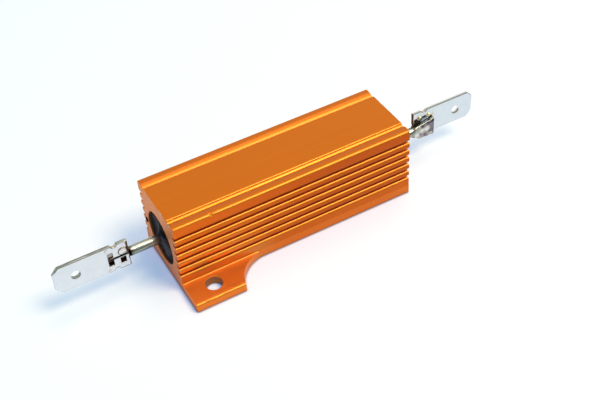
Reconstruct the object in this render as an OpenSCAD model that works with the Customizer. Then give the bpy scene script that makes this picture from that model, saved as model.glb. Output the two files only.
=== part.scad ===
// Wirewound power resistor: a finned aluminium housing around a potted, wound ceramic core,
// with round leads pressed flat and welded to flat tab terminals.
// The housing stands on its base. X runs along it, Z is up, and the origin is the middle of the base.

/* [Housing] */
// Length of the extruded housing
body_len = 50; // [42:0.5:70]
// Width of the base, the fins and the cap
body_w = 15.9; // [15.4:0.1:20]
// Height from the base to the top face
body_h = 15.85; // [15:0.05:20]
// Height of the plain base under the fins
base_h = 3.9; // [3:0.05:5]
// Height of the plain cap above the fins
cap_h = 2.35; // [1.6:0.05:3]
// Radius on the upper edges of the base and the fins
edge_r = 0.4; // [0.15:0.05:0.5]
// Radius on the lower edges of the fins and the cap
under_r = 0.15; // [0.1:0.05:0.4]
// Radius on the upper edges of the cap
cap_r = 0.6; // [0.3:0.05:0.9]
// Diameter of the bore that holds the wound core
bore_d = 10.6; // [10:0.1:11.6]
// Height of the bore axis above the base
bore_z = 7.3; // [6.8:0.05:8.5]

/* [Cooling fins] */
// Number of side grooves between the base and the cap
groove_count = 6; // [3:1:6]
// Height of each side groove
groove_w = 0.7; // [0.5:0.05:0.95]
// Depth of each side groove, from the fin tips
groove_depth = 1.25; // [0.8:0.05:1.6]

/* [Top face] */
// Distance of each top groove from the middle line
top_groove_y = 5; // [4:0.05:5.6]
// Depth of the step at the inner edge of a top groove
top_step = 0.25; // [0.1:0.05:0.4]
// Width of the wall of that step
top_step_w = 0.12; // [0.05:0.01:0.3]
// Width of the sloping floor beside the step
top_slope_w = 0.4; // [0.2:0.05:0.6]
// Depth of a top groove
top_groove_depth = 0.48; // [0.42:0.02:0.7]
// Radius of the crowned edge strip, which is the outer wall of a top groove
strip_r = 2.1; // [1.2:0.1:2.6]

/* [Mounting feet] */
// Width over both feet
foot_span = 28.3; // [27:0.1:32]
// Thickness of the feet
foot_t = 1.85; // [1.2:0.05:2.4]
// Length of the straight outer edge of a foot
foot_len = 10.1; // [8:0.1:13]
// Radius of the cutter that scooped out the inner side of a foot
scoop_r = 7.4; // [6.5:0.1:10]
// Radius of the fillet between a foot and the side
foot_fillet = 0.25; // [0.15:0.05:0.6]
// Radius on the outer top edge of a foot
foot_edge_r = 0.4; // [0.1:0.05:0.5]
// Distance of a mounting hole from its housing end
hole_in = 5.15; // [4:0.05:7]
// Spacing of the two mounting holes across the housing
hole_dy = 21.4; // [20.6:0.1:23]
// Diameter of the mounting holes
hole_d = 3.3; // [2.8:0.1:4]

/* [Wound core] */
// Distance from a housing end to the end of the ceramic core
core_inset = 8; // [6:0.1:11]
// Diameter of the ceramic core
core_d = 6.4; // [5:0.1:7]
// Length of the end caps over the core
cap_len = 4.5; // [3:0.1:6]
// Wall of the end caps
cap_t = 0.4; // [0.25:0.05:0.6]
// Diameter of the resistance wire
wire_d = 0.4; // [0.25:0.05:0.5]
// Number of turns of resistance wire
wire_turns = 22; // [10:1:26]
// Shift of the core, with its leads, from the middle of the housing
core_shift = -0.1; // [-1:0.05:1]

/* [Potting] */
// Depth of the potting below the housing ends
potting_inset = 0.5; // [0.2:0.05:1.5]
// Radius of the raised collar where a lead comes out
collar_r = 2.2; // [1.7:0.05:3]
// Height that the collar climbs along a lead
collar_h = 0.75; // [0.3:0.05:1.5]

/* [Leads] */
// Diameter of the leads
lead_d = 1.9; // [1.5:0.05:2.2]
// Distance from a housing end to where the lead is pressed flat
lead_out = 6.1; // [4:0.1:12]
// Length of the flare from the round lead to its flat end
flare_len = 1.2; // [0.8:0.05:2]
// Length of the flat end behind the flare
flat_len = 3.8; // [2.5:0.05:4.5]
// Height of the flat end
flat_h = 3.6; // [2.6:0.05:4.2]
// Thickness of the flat end
flat_t = 1; // [0.8:0.05:1.2]
// Distance from the lead axis to the face that is welded to the tab
weld_face = 0.35; // [0.25:0.05:0.45]

/* [Tabs] */
// Width of the tab blades
tab_w = 6.2; // [5.8:0.05:6.6]
// Thickness of the tab blades
tab_t = 0.8; // [0.5:0.05:1]
// Length of the tabs
tab_len = 14.55; // [13.5:0.05:18]
// Distance from where the lead is pressed flat to the inner end of the tab
tab_in = 0.45; // [0.3:0.05:1]
// Height of the tab's middle line above the lead axis
tab_rise = 0.9; // [0.4:0.05:1.1]
// Corner cut at the tip of a tab
tip_cut = 1.25; // [0.6:0.05:1.8]
// Length of the coined bevel at the tip of a tab
tip_bevel = 0.7; // [0.3:0.05:1.2]
// Thickness of the tip edge
tip_t = 0.45; // [0.25:0.05:0.5]
// Diameter of the locking hole in a tab
lock_d = 1.75; // [1.2:0.05:2.2]
// Distance of the locking hole from the tip
lock_in = 4.15; // [3:0.05:5]
// Distance of the edge notches from the inner end
notch_in = 2.6; // [2.3:0.05:4.5]
// Width of an edge notch at the edge
notch_w = 1.5; // [0.8:0.05:1.8]
// Width of an edge notch at its floor
notch_floor = 0.3; // [0.1:0.05:0.5]
// Depth of an edge notch
notch_depth = 0.6; // [0.3:0.05:0.8]
// Distance of the weld slot from the inner end
slot_in = 3.65; // [3.2:0.05:4.5]
// Width of the weld slot
slot_w = 1.15; // [0.6:0.05:1.3]
// Height of each window of the weld slot
slot_h = 1.4; // [1:0.05:1.6]
// Height of the tongue between the two windows
tongue_h = 0.6; // [0.5:0.05:0.8]
// Width of the split from the weld slot to the inner end
split_w = 0.3; // [0.1:0.02:0.36]
// Width of the pierced weld hole
pierce_w = 1.05; // [0.6:0.05:1.3]
// Height of the pierced weld hole
pierce_h = 1.4; // [0.8:0.05:1.5]
// Distance of the pierced weld hole from the inner end
pierce_in = 1.25; // [0.9:0.05:1.8]
// Distance of the pierced weld hole below the middle line
pierce_drop = 1.1; // [1:0.05:1.4]
// Radius of the raised weld button
button_r = 0.9; // [0.5:0.05:0.95]
// Height of the raised weld button
button_h = 0.3; // [0.1:0.05:0.4]
// Distance of the weld button from the inner end
button_in = 1.15; // [1:0.05:1.8]
// Height of the weld button above the middle line
button_rise = 1.05; // [0.9:0.05:1.5]
// Radius of the weld beads above the flat end of the lead
bead_r = 0.4; // [0.2:0.05:0.5]
// Distance of the inner weld bead from the inner end
bead_in = 1.3; // [0.6:0.05:2]
// Height of the weld beads above the middle line
bead_rise = 1.95; // [1.9:0.05:2.2]

/* [Hidden] */
$fn = 48;

// Clearance of pieces that are pressed or moulded round each other
seat_gap = 0.05;
// Clearance of the resistance wire over what it lies on
wire_gap = 0.1;
// Overrun of cuts past the faces they open
over = 1;
// Least height of the flat on a fin tip
tip_land = 0.04;
// Length over which the resistance wire climbs onto an end cap
wire_climb = 1;
// Points in each turn of the resistance wire, and sides of its section
wire_steps = 20;
wire_sides = 6;
// Narrowing of the round lead inside its flat end
flare_drop = 0.3;

half_len = body_len / 2;
cap_z = body_h - cap_h;
groove_pitch = (cap_z - base_h - groove_w) / (groove_count - 1);
fin_t = groove_pitch - groove_w;
root_w = body_w - 2 * groove_depth;
tip_r = min(edge_r, (fin_t - tip_land) / 2);
low_r = min(under_r, (fin_t - tip_land) / 2);
strip_y = top_groove_y + top_step_w + top_slope_w + sqrt(strip_r ^ 2 - (strip_r - top_groove_depth) ^ 2);

foot_end = half_len - foot_len;
foot_y = foot_span / 2;
scoop_y = body_w / 2 + scoop_r;
scoop_x = foot_end - sqrt(scoop_r ^ 2 - (scoop_y - foot_y) ^ 2);

core_half = half_len - core_inset;
core_r = core_d / 2;
end_cap_r = core_r + seat_gap + cap_t;
cap_face = core_half + seat_gap + cap_t;
cap_mouth = core_half - cap_len;
wire_r = wire_d / 2;
wire_on_core = core_r + wire_gap + wire_r;
wire_on_cap = end_cap_r + wire_gap + wire_r;
wire_end = cap_mouth + 2 * wire_d;

lead_r = lead_d / 2;
flare_x = half_len + lead_out;
flat_x = flare_x + flare_len;
flat_end = flat_x + flat_len;
flare_r = lead_r - flare_drop;

tab_x = flare_x + tab_in;
shoulder_x = tab_x - seat_gap;
tab_z = bore_z + tab_rise;

// A flat outline in Y and Z drawn out along X
module along_x(length) {
    rotate([90, 0, 90]) linear_extrude(length, center = true) children();
}

// A flat outline in X and Z drawn out along Y, from y to y + depth
module along_y(y, depth) {
    translate([0, y + depth, 0]) rotate([90, 0, 0]) linear_extrude(depth) children();
}

// An outline of radius and length turned about the lead axis
module turned(points) {
    translate([core_shift, 0, bore_z]) rotate([0, 90, 0]) rotate_extrude() polygon(points);
}

// What is drawn for the right end, put at the right or the left end
module at_end(side) {
    translate([core_shift, 0, 0]) rotate([0, 0, side > 0 ? 0 : 180]) children();
}

// A rectangle that stands on z, with rounded upper and lower corners
module rounded_bar(w, z, h, upper, lower) {
    translate([-w / 2, z + lower]) square([w, h - upper - lower]);
    translate([-w / 2 + upper, z + h / 2]) square([w - 2 * upper, h / 2]);
    translate([-w / 2 + lower, z]) square([w - 2 * lower, h / 2]);
    for (side = [-1, 1]) {
        translate([side * (w / 2 - upper), z + h - upper]) circle(upper);
        translate([side * (w / 2 - lower), z + lower]) circle(lower);
    }
}

// The extruded section: base with flanges, core block, fins and cap
module housing_section() {
    difference() {
        union() {
            translate([-body_w / 2, 0]) square([body_w, base_h - edge_r]);
            rounded_bar(body_w, 0, base_h, edge_r, edge_r);
            translate([-root_w / 2, 0]) square([root_w, body_h - cap_h / 2]);
            rounded_bar(body_w, cap_z, cap_h, cap_r, under_r);
            translate([-foot_y, 0]) square([foot_span, foot_t - foot_edge_r]);
            rounded_bar(foot_span, 0, foot_t, foot_edge_r, foot_edge_r);
            translate([-body_w / 2 - foot_fillet, 0])
                square([body_w + 2 * foot_fillet, foot_t + foot_fillet]);
            for (k = [1 : groove_count - 1])
                rounded_bar(body_w, base_h + k * groove_pitch - fin_t, fin_t, tip_r, low_r);
        }
        for (side = [0, 1]) mirror([side, 0]) {
            translate([body_w / 2 + foot_fillet, foot_t + foot_fillet]) circle(foot_fillet);
            top_groove();
        }
    }
}

// A groove in the top face: a step, a sloping floor and the crowned flank of the edge strip
module top_groove() {
    step_y = top_groove_y + top_step_w;
    translate([0, body_h]) difference() {
        polygon([[top_groove_y, over], [top_groove_y, 0], [step_y, -top_step], [step_y + top_slope_w, -top_groove_depth],
                 [strip_y, -top_groove_depth], [strip_y, over]]);
        translate([strip_y, -strip_r]) circle(strip_r, $fn = 128);
    }
}

// The cut of a groove with sloping walls, from its mouth at 0 down to its floor
module vee_cut(mouth_w, floor_w, depth) {
    half = mouth_w / 2 + over * (mouth_w - floor_w) / 2 / depth;
    polygon([[-half, over], [-floor_w / 2, -depth], [floor_w / 2, -depth], [half, over]]);
}

// The flange that is milled away on one side, up to the scooped end of the foot
module flange_cut() {
    translate([0, 0, -over]) linear_extrude(base_h + over) {
        translate([-half_len - over, body_w / 2]) square([half_len + over + scoop_x, foot_y]);
        translate([scoop_x, scoop_y]) circle(scoop_r, $fn = 96);
    }
}

module housing() {
    color("#d4711f") difference() {
        along_x(body_len) housing_section();
        translate([0, 0, bore_z]) rotate([0, 90, 0])
            cylinder(d = bore_d, h = body_len + 2 * over, center = true);
        for (turn = [0, 180]) rotate([0, 0, turn]) {
            flange_cut();
            translate([half_len - hole_in, hole_dy / 2, -over]) cylinder(d = hole_d, h = foot_t + 2 * over);
        }
    }
}

// Black filling that is cast round the wound core, with a collar round each lead
module potting() {
    face = half_len - potting_inset;
    cast_r = bore_d / 2 - seat_gap;
    hole_r = lead_r + seat_gap;
    well_r = wire_on_cap + wire_r + wire_gap;
    neck_r = wire_on_core + wire_r + wire_gap;
    neck = cap_mouth - wire_climb - wire_r;
    well = cap_face + seat_gap;
    left = -face - core_shift;
    right = face - core_shift;
    color("#1f1f23") turned([
        [hole_r, left - collar_h], [hole_r + seat_gap, left - collar_h], [collar_r, left], [cast_r, left],
        [cast_r, right], [collar_r, right], [hole_r + seat_gap, right + collar_h], [hole_r, right + collar_h],
        [hole_r, well], [well_r, well], [well_r, neck], [neck_r, neck],
        [neck_r, -neck], [well_r, -neck], [well_r, -well], [hole_r, -well],
    ]);
}

module core() {
    color("#e6dfcf") turned([[0, -core_half], [core_r, -core_half], [core_r, core_half], [0, core_half]]);
}

// Radius of the wire path at x: it climbs from the core onto each end cap
function wire_path_r(x) =
    let (s = max(0, min(1, (abs(x) - cap_mouth + wire_climb) / wire_climb)))
    wire_on_core + (wire_on_cap - wire_on_core) * s * s * (3 - 2 * s);

module winding() {
    count = wire_turns * wire_steps;
    rings = [for (i = [0 : count])
        let (x = wire_end * (2 * i / count - 1), r = wire_path_r(x), turn = 360 * i / wire_steps)
        for (j = [0 : wire_sides - 1])
            let (a = 360 * j / wire_sides, h = r + wire_r * sin(a))
            [x + wire_r * cos(a), h * cos(turn), h * sin(turn)]];
    walls = [for (i = [0 : count - 1], j = [0 : wire_sides - 1])
        let (a = i * wire_sides, k = (j + 1) % wire_sides)
        [a + j, a + k, a + wire_sides + k, a + wire_sides + j]];
    first = [for (j = [wire_sides - 1 : -1 : 0]) j];
    last = [for (j = [0 : wire_sides - 1]) count * wire_sides + j];
    color("#8d8b86") translate([core_shift, 0, bore_z]) polyhedron(rings, concat([first], walls, [last]));
}

// Pressed steel cup on one end of the core
module end_cap(side) {
    inner = core_r + seat_gap;
    color("#b7babd") at_end(side) translate([-core_shift, 0, 0])
        turned([[0, core_half + seat_gap], [inner, core_half + seat_gap], [inner, cap_mouth],
                [end_cap_r, cap_mouth], [end_cap_r, cap_face], [0, cap_face]]);
}

// Tinned lead from the end cap outwards, with its end pressed flat
module lead(side) {
    color("#c9c4b2") at_end(side) difference() {
        union() {
            translate([-core_shift, 0, 0])
                turned([[0, cap_face], [lead_r, cap_face], [lead_r, flare_x],
                        [flare_r, flat_x], [0, flat_x]]);
            along_y(weld_face - flat_t, flat_t) translate([0, bore_z])
                polygon([[flare_x - flare_len / 2, -flare_r], [flat_x, -flat_h / 2], [flat_end, -flat_h / 2],
                         [flat_end, flat_h / 2], [flat_x, flat_h / 2], [flare_x - flare_len / 2, flare_r]]);
        }
        translate([0, 0, bore_z - flat_h]) linear_extrude(2 * flat_h)
            polygon([[flare_x, lead_r + over], [shoulder_x, weld_face], [flat_end + over, weld_face],
                     [flat_end + over, lead_r + over]]);
    }
}

// Outline of a tab in X and Z, from its inner end at 0 to its tip, about its middle line
module tab_outline() {
    half = tab_w / 2;
    difference() {
        polygon([[0, -half], [tab_len - tip_cut, -half], [tab_len, -half + tip_cut],
                 [tab_len, half - tip_cut], [tab_len - tip_cut, half], [0, half]]);
        translate([tab_len - lock_in, 0]) circle(d = lock_d);
        for (side = [0, 1]) mirror([0, side]) {
            translate([notch_in, half]) vee_cut(notch_w, notch_floor, notch_depth);
            translate([slot_in - slot_w / 2, tongue_h / 2]) square([slot_w, slot_h]);
        }
        translate([slot_in + slot_w / 2 - split_w, -slot_h / 2]) square([split_w, slot_h]);
        translate([-over, -split_w / 2]) square([slot_in - slot_w / 2 + over, split_w]);
        translate([pierce_in, -pierce_drop]) square([pierce_w, pierce_h], center = true);
    }
}

// Flat tab welded to the pressed end of the lead
module tab(side) {
    mid = tab_t / 2;
    color("#d5d8de") at_end(side) translate([tab_x, weld_face, tab_z]) {
        intersection() {
            along_y(0, tab_t) tab_outline();
            translate([0, mid, -tab_w]) linear_extrude(2 * tab_w)
                polygon([[-over, -mid], [tab_len - tip_bevel, -mid], [tab_len, -tip_t / 2],
                         [tab_len, tip_t / 2], [tab_len - tip_bevel, mid], [-over, mid]]);
        }
        intersection() {
            translate([button_in, tab_t, button_rise]) rotate([-90, 0, 0])
                cylinder(h = button_h, r1 = button_r, r2 = button_r - button_h / 2);
            translate([0, 0, split_w / 2]) cube([2 * button_in, tab_t + button_h, tab_w]);
        }
        for (x = [bead_in, slot_in + slot_w / 4])
            translate([x, 0, bead_rise]) sphere(bead_r);
    }
}

housing();
potting();
core();
winding();
end_cap(-1);  // end_cap_left
end_cap(1);  // end_cap_right
lead(-1);  // lead_left
lead(1);  // lead_right
tab(-1);  // tab_left
tab(1);  // tab_right
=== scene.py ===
import bmesh
import bpy
import numpy as np
from mathutils import Matrix, Vector
from mathutils.geometry import delaunay_2d_cdt


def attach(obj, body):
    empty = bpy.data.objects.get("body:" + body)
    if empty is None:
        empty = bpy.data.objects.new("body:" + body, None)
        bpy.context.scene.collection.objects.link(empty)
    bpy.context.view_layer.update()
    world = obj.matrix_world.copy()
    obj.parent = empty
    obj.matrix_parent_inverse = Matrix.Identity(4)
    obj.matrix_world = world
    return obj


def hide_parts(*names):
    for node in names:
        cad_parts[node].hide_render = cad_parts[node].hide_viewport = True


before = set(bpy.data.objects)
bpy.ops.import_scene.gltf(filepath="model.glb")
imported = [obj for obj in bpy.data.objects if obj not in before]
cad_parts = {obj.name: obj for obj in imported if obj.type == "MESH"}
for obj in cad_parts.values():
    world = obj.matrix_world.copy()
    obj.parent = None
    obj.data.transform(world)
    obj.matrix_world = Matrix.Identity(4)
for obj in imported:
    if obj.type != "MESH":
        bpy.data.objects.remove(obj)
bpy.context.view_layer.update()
mm = 0.001  # shapes are worked out in millimetres
coreShift = -0.1  # the wound core and its leads sit a little to the left
axisHeight = 7.3  # height of the lead axis
bothEnds = (("left", -1), ("right", 1))
print("frame loaded,", len(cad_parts), "solids")


# tools for surfaces

def unit(vectors):
    return vectors / np.maximum(np.linalg.norm(vectors, axis=1), 1e-9)[:, None]


def turns(count):
    # angles round a full turn
    return np.linspace(0, 2 * np.pi, count, endpoint=False)


def ease(value, low, high):
    # 0 at low, 1 at high, an S curve between them; it falls where low lies above high
    t = np.clip((value - low) / (high - low), 0, 1)
    return t * t * (3 - 2 * t)


def signedPower(value, power):
    return np.sign(value) * np.abs(value) ** power


def softNoise(points, size, seed, waves=16):
    # sum of sine waves in random directions, each about one size long, about -1 to 1
    rng = np.random.default_rng(seed)
    direction = unit(rng.normal(size=(waves, 3)))
    rate = 2 * np.pi / (size * rng.uniform(0.6, 1.7, waves))
    phase = rng.uniform(0, 2 * np.pi, waves)
    return np.sin(points @ (direction * rate[:, None]).T + phase).sum(1) / np.sqrt(waves)


def gridOf(x, y, z):
    # grid of points, from coordinates given by row, by column or for each point
    return np.stack(np.broadcast_arrays(x, y, z), -1)


def ballGrid(rows, cols):
    # unit sphere turned about X, its poles closed later by merging
    polar, turn = np.linspace(0, np.pi, rows)[:, None], turns(cols)
    return gridOf(np.cos(polar), np.sin(polar) * np.cos(turn), np.sin(polar) * np.sin(turn))


def ringPart(grid, closed=False):
    # each row of the grid is a ring: quads between neighbouring rings, and from last to first if closed
    rows, cols = grid.shape[:2]
    down, across = np.arange(rows - (not closed)), np.arange(cols)
    i, j = [index.ravel() for index in np.meshgrid(down, across, indexing="ij")]
    k, l = (i + 1) % rows, (j + 1) % cols
    return grid.reshape(-1, 3), np.stack([i * cols + j, k * cols + j, k * cols + l, i * cols + l], 1)


def roundCorners(corners, steps=6):
    # closed outline of (x, y, radius): each corner turns into an arc that touches both its sides
    corners = np.asarray(corners, float)
    point, radius = corners[:, :2], corners[:, 2]
    toLast, toNext = unit(np.roll(point, 1, 0) - point), unit(np.roll(point, -1, 0) - point)
    half = np.arccos(np.clip((toLast * toNext).sum(1), -1, 1)) / 2
    touch = (radius / np.tan(half))[:, None]
    centre = point + unit(toLast + toNext) * (radius / np.sin(half))[:, None]
    first, last = point + toLast * touch - centre, point + toNext * touch - centre
    start = np.arctan2(first[:, 1], first[:, 0])
    sweep = (np.arctan2(last[:, 1], last[:, 0]) - start + np.pi) % (2 * np.pi) - np.pi
    angle = start[:, None] + sweep[:, None] * np.linspace(0, 1, steps + 1)
    arc = np.stack([np.cos(angle), np.sin(angle)], -1) * radius[:, None, None]
    return (centre[:, None] + arc).reshape(-1, 2)


def fillEdges(loop, step):
    # extra points along the long sides of a closed outline, at most one step apart
    following = np.roll(loop, -1, 0)
    count = np.maximum(1, np.ceil(np.linalg.norm(following - loop, axis=1) / step)).astype(int)
    index = np.repeat(np.arange(len(loop)), count)
    place = np.arange(len(index)) - np.repeat(np.cumsum(count) - count, count)
    t = (place / count[index])[:, None]
    return loop[index] * (1 - t) + following[index] * t


def loopNormals(loop):
    # outward normals of a closed outline that runs anticlockwise
    run = np.roll(loop, -1, 0) - np.roll(loop, 1, 0)
    return unit(np.stack([run[:, 1], -run[:, 0]], 1))


def insideLoops(points, loops):
    # a point is inside when a line from it towards +x crosses the outlines an odd number of times
    start = np.concatenate(loops)
    end = np.concatenate([np.roll(loop, -1, 0) for loop in loops])
    rise = (start[:, 1] > points[:, 1:]) != (end[:, 1] > points[:, 1:])
    height = np.where(end[:, 1] == start[:, 1], 1, end[:, 1] - start[:, 1])
    crossing = start[:, 0] + (points[:, 1:] - start[:, 1]) / height * (end[:, 0] - start[:, 0])
    return (rise & (points[:, :1] < crossing)).sum(1) % 2 == 1


def fillLoops(loops, inner=()):
    # Delaunay triangles between flat outlines, over sets of inner points too
    edges, first = [], 0
    for loop in loops:
        ring = np.arange(len(loop)) + first
        edges += np.stack([ring, np.roll(ring, -1)], 1).tolist()
        first += len(loop)
    points = np.concatenate([*loops, *inner])
    made = delaunay_2d_cdt([Vector(p) for p in points.tolist()], edges, [], 0, 1e-5)
    points, faces = np.array([tuple(p) for p in made[0]]), np.array(made[2])
    return points, faces[insideLoops(points[faces].mean(1), loops)]


def joinParts(parts):
    # several (points, faces) become one list of each
    points, faces, first = [], [], 0
    for partPoints, partFaces in parts:
        points.append(partPoints)
        faces += (np.asarray(partFaces) + first).tolist()
        first += len(partPoints)
    return np.concatenate(points), faces


def meshFrom(name, points, faces):
    # doubles merged, slivers dropped, normals outwards
    mesh = bpy.data.meshes.new(name)
    mesh.from_pydata((points * mm).tolist(), [], faces)
    work = bmesh.new()
    work.from_mesh(mesh)
    bmesh.ops.remove_doubles(work, verts=work.verts, dist=0.0005 * mm)
    bmesh.ops.dissolve_degenerate(work, edges=work.edges, dist=0.0002 * mm)
    bmesh.ops.recalc_face_normals(work, faces=work.faces)
    work.to_mesh(mesh)
    work.free()
    return mesh


def addObject(name, data):
    thing = bpy.data.objects.new(name, data)
    bpy.context.scene.collection.objects.link(thing)
    return thing


def addPiece(mesh, material, node=None, crease=40):
    # smooth shading with creases, and flat faces that stay flat beside their rounded edges
    piece = addObject(mesh.name, mesh)
    mesh.shade_smooth()
    mesh.set_sharp_from_angle(angle=np.radians(crease))
    even = piece.modifiers.new("evenNormals", "WEIGHTED_NORMAL")
    even.keep_sharp = True
    mesh.materials.append(material)
    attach(piece, "root")
    if node:
        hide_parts(node)
    return piece


def readPoints(mesh):
    points = np.empty(len(mesh.vertices) * 3)
    mesh.vertices.foreach_get("co", points)
    return points.reshape(-1, 3) / mm


def paintPoints(mesh, layers):
    # numbers at each point, which the material reads by their name
    for name, values in layers.items():
        layer = mesh.attributes.new(name, "FLOAT", "POINT")
        layer.data.foreach_set("value", np.asarray(values, np.float32))


def atEnd(points, side):
    # drawn from the core's middle towards the right end; the left end is half a turn about Z
    return points * (side, side, 1) + (coreShift, 0, 0)


def fromEnd(mesh, side):
    # the points of a mesh, back where they were drawn
    return (readPoints(mesh) - (coreShift, 0, 0)) * (side, side, 1)


# tools for materials

def feed(socket, value):
    # a link from another socket, or else a constant; colours are given without alpha
    if isinstance(value, bpy.types.NodeSocket):
        socket.id_data.links.new(value, socket)
    elif socket.type == "RGBA":
        socket.default_value = (*value, 1)
    else:
        socket.default_value = value


def addNode(near, kind, inputs=None, **settings):
    # near is a socket or a node of the tree that gets the new one, or the tree itself
    node = near.id_data.nodes.new("ShaderNode" + kind)
    for key, value in settings.items():
        setattr(node, key, value)
    for key, value in (inputs or {}).items():
        feed(node.inputs[key], value)
    return node


def newMaterial(name):
    material = bpy.data.materials.new(name)
    material.use_nodes = True
    tree = material.node_tree
    return material, tree.nodes["Principled BSDF"], addNode(tree, "TexCoord")


def scaled(place, stretch=(1, 1, 1)):
    # Object coordinates in millimetres
    inputs = {"Vector": place.outputs["Object"], "Scale": [share / mm for share in stretch]}
    return addNode(place, "Mapping", inputs).outputs[0]


def axesOf(vector):
    return addNode(vector, "SeparateXYZ", {0: vector}).outputs


def noiseAt(place, scale, detail=3, stretch=(1, 1, 1)):
    # scale is waves per millimetre
    inputs = {"Vector": scaled(place, stretch), "Scale": scale, "Detail": detail}
    return addNode(place, "TexNoise", inputs).outputs["Fac"]


def maths(operation, *values):
    return addNode(values[0], "Math", dict(enumerate(values)), operation=operation).outputs[0]


def ramp(value, fromLow, fromHigh, toLow=0.0, toHigh=1.0, curve="LINEAR"):
    inputs = {0: value, 1: fromLow, 2: fromHigh, 3: toLow, 4: toHigh}
    return addNode(value, "MapRange", inputs, interpolation_type=curve).outputs[0]


def mask(*limits):
    # product of its limits: each is a share, or what a ramp takes (value, where 0, where 1)
    factors = [ramp(*limit) if isinstance(limit, tuple) else limit for limit in limits]
    share = factors[0]
    for factor in factors[1:]:
        share = maths("MULTIPLY", share, factor)
    return share


def blend(first, second, *limits):
    # the second colour where the mask is 1
    share = mask(*limits)
    return addNode(share, "Mix", {0: share, 6: first, 7: second}, data_type="RGBA").outputs[2]


def colourRamp(value, stops):
    # stops of (place, colour), the first at 0 and the last at 1
    node = addNode(value, "ValToRGB", {0: value})
    elements = node.color_ramp.elements
    elements[0].color, elements[1].color = (*stops[0][1], 1), (*stops[-1][1], 1)
    for place, shade in stops[1:-1]:
        elements.new(place).color = (*shade, 1)
    return node.outputs[0]


def distanceFrom(centre, first, second):
    # distance in a plane
    flat = addNode(first, "CombineXYZ", {0: first, 1: second}).outputs[0]
    return addNode(flat, "VectorMath", {0: flat, 1: (*centre, 0)}, operation="DISTANCE").outputs["Value"]


def painted(place, name):
    return addNode(place, "Attribute", attribute_name=name).outputs["Fac"]


def bumpFrom(height, depth, strength=0.5):
    inputs = {"Strength": strength, "Distance": depth * mm, "Height": height}
    return addNode(height, "Bump", inputs).outputs[0]


def setShader(shader, **values):
    names = {"colour": "Base Color", "metal": "Metallic", "rough": "Roughness", "normal": "Normal",
             "gloss": "Specular IOR Level", "glow": "Emission Color", "glowStrength": "Emission Strength"}
    for key, value in values.items():
        feed(shader.inputs[names[key]], value)


# housing: one extruded section, its flange milled to two feet

housing = {
    "length": 50, "width": 15.9, "height": 15.85, "baseHeight": 3.82, "capHeight": 2.32,
    "edgeRound": 0.5, "underRound": 0.15, "capRound": 0.5,
    "grooves": 6, "grooveWidth": 0.7, "grooveDepth": 1.25, "rootRound": 0.14,
    # top groove: lip of the flat field, step, sloping floor, then the crown of the edge strip
    "lipAt": 5, "lipRound": 0.3, "stepWidth": 0.12, "stepDepth": 0.25, "slopeWidth": 0.4,
    "topDepth": 0.48, "stripRadius": 2.1, "crownRound": 1.995, "hollowRound": 0.05,
    "footSpan": 28.3, "footThick": 1.85, "footLength": 10.1, "footRound": 0.4, "footFillet": 0.25,
    "footUnder": 0.3, "scoopRadius": 7.4, "scoopSteps": 30, "millTrace": 0.04,
    "holeIn": 5.15, "holeApart": 21.4, "holeWidth": 3.3, "holeRim": 0.08, "holeSteps": 64,
    "bore": 10.6, "boreRim": 0.1, "boreSteps": 96, "endRound": 0.05,
    # points of the section lie this close, and sections lie so far from the ends and at the knocks
    "sectionStep": 0.5, "fromEnds": [0.12, 0.25, 0.4, 0.6, 0.9, 1.3], "sectionsApart": 2.0,
    "atKnocks": [17.1, 17.25, 17.4, 17.5, 17.6, 17.75, 17.9, 19.5, 19.6, 19.7, 21.3, 21.6, 21.9,
                 23, 23.1, 23.2],
    "crease": 32,
    # knocks on the edges: place, reach and depth; those at the sawn ends show bare metal
    "knocks": [
        (-25, -2.1, 15.75, 0.5, 0.14), (-25, -3.0, 15.8, 0.35, 0.08), (-25, -5.75, 15.6, 0.5, 0.16),
        (-25, -6.6, 15.6, 0.35, 0.1), (-25, -7.6, 15.55, 0.5, 0.16), (-25, 3.6, 15.85, 0.3, 0.06),
        (25, -7.8, 15.7, 0.5, 0.12), (25, 2.2, 15.85, 0.5, 0.1), (-25, 7.9, 12.0, 0.5, 0.12),
        (-25, 7.9, 8.4, 0.45, 0.12), (-17.5, -7.8, 15.75, 0.4, 0.32), (21.6, -7.5, 15.85, 0.35, 0.05),
        (-23.1, -14.1, 1.8, 0.3, 0.2), (-19.6, -14.1, 1.8, 0.25, 0.2),
    ],
}


def finPitch(h):
    return (h["height"] - h["capHeight"] - h["baseHeight"] - h["grooveWidth"]) / (h["grooves"] - 1)


def housingSection(h):
    # right half from the foot up to the top groove, then the same mirrored
    wide, high, edge, under = h["width"] / 2, h["height"], h["edgeRound"], h["underRound"]
    root, foot, rim = wide - h["grooveDepth"], h["footSpan"] / 2, h["rootRound"]
    base, thick, capLow = h["baseHeight"], h["footThick"], high - h["capHeight"]
    side = [(foot, 0, h["footUnder"]), (foot, thick, h["footRound"]), (wide, thick, h["footFillet"]),
            (wide, base, edge), (root, base, rim)]
    for k in range(1, h["grooves"]):
        top = base + k * finPitch(h)
        low = top - (finPitch(h) - h["grooveWidth"])
        side += [(root, low, rim), (wide, low, under), (wide, top, edge), (root, top, rim)]
    # the crown is an arc that leaves the flat top and meets the sloping floor at an angle
    step, hollow = h["lipAt"] + h["stepWidth"], h["hollowRound"]
    floor = step + h["slopeWidth"]
    lean = np.arccos(1 - h["topDepth"] / h["stripRadius"])
    side += [(root, capLow, rim), (wide, capLow, under), (wide, high, h["capRound"]),
             (floor + h["topDepth"] / np.tan(lean), high, h["crownRound"]),
             (floor, high - h["topDepth"], hollow), (step, high - h["stepDepth"], hollow),
             (h["lipAt"], high, h["lipRound"])]
    return fillEdges(roundCorners(side + [(-y, z, r) for y, z, r in side[::-1]]), h["sectionStep"])


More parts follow.
